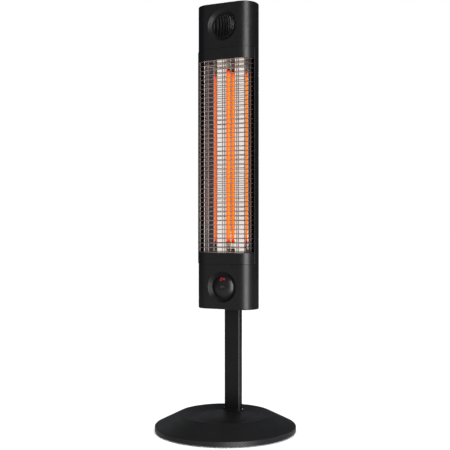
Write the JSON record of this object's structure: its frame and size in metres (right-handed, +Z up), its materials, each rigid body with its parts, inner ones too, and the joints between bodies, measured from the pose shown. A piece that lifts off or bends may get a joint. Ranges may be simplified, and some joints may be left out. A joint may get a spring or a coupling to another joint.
{
  "type": "outdoor heater",
  "caption": "Slim upright patio heater: tall flat head with a lit quartz lamp, polished reflector and wire grille, on a flat column and a wide round base.",
  "frame": {"origin": "on the floor, under the centre of the round base", "axes": "+Z up, the lamp faces -Y, +X to the right seen from the front"},
  "size_m": [0.32, 0.32, 0.9682],
  "materials": {
    "cap_paint": "satin",
    "band_paint": "satin",
    "housing_paint": "satin",
    "base_paint": "satin",
    "column_paint": "satin",
    "bracket_black": "matt",
    "cast_iron": "rough",
    "rubber": "matt",
    "steel": "satin",
    "polished_metal": "polished",
    "grille_wire": "polished",
    "matte_black": "fine texture",
    "gloss_black": "gloss",
    "circuit_board": "satin",
    "heat_sink_metal": "satin",
    "ceramic": "matt",
    "lead_sleeve": "woven",
    "quartz": "clear",
    "glowing_filament": "glowing",
    "display_red": "lit"
  },
  "bodies": {
    "root": {"base_cover": "base_paint", "base_weight": "cast_iron", "column_plug": "cast_iron", "column_saddle": "cast_iron", "base_plate": "steel", "column_bolt_left": "steel", "column_bolt_right": "steel", "bracket_screw_left": "steel", "bracket_screw_right": "steel", "saddle_bolt_1": "steel", "saddle_bolt_2": "steel", "bottom_cap_screw_left": "steel", "bottom_cap_screw_right": "steel", "top_cap_screw_left": "steel", "top_cap_screw_right": "steel", "rubber_foot_1": "rubber", "foot_screw_1": "steel", "rubber_foot_2": "rubber", "foot_screw_2": "steel", "rubber_foot_3": "rubber", "foot_screw_3": "steel", "rubber_foot_4": "rubber", "foot_screw_4": "steel", "column_tube": "column_paint", "foot_bracket": "bracket_black", "bottom_cap": "cap_paint", "top_cap": "cap_paint", "bottom_band": "band_paint", "top_band": "band_paint", "rear_housing": "housing_paint", "end_plate_bottom": "polished_metal", "end_plate_top": "polished_metal", "reflector": "polished_metal", "vent_insert": "matte_black", "push_switch": "matte_black", "power_relay": "matte_black", "triac": "matte_black", "tilt_switch": "matte_black", "cable_gland": "matte_black", "rocker_frame": "matte_black", "display_lens": "gloss_black", "remote_receiver": "gloss_black", "display_board": "circuit_board", "power_board": "circuit_board", "heat_sink": "heat_sink_metal", "digit_display": "display_red", "terminal_block": "ceramic", "lamp_cap_bottom": "ceramic", "lamp_cap_top": "ceramic", "lamp_holder_bottom": "ceramic", "lamp_holder_top": "ceramic", "lamp_tube": "quartz", "lamp_element": "glowing_filament", "lamp_lead_bottom": "lead_sleeve", "lamp_lead_top": "lead_sleeve", "grille": "grille_wire"},
    "button": {"power_button": "gloss_black"},
    "rocker": {"mains_rocker": "gloss_black"}
  },
  "joints": [
    {"name": "power_button_press", "type": "slide", "parent": "root", "child": "button", "axis": [0, 1, 0], "range_m": [0, 0.0012], "stiffness_N_per_m": 600},
    {"name": "mains_rocker_tilt", "type": "hinge", "parent": "root", "child": "rocker", "pos_m": [0.015, 0.0572, 0.3424], "axis": [-1, 0, 0], "range_deg": [0, 20]}
  ]
}
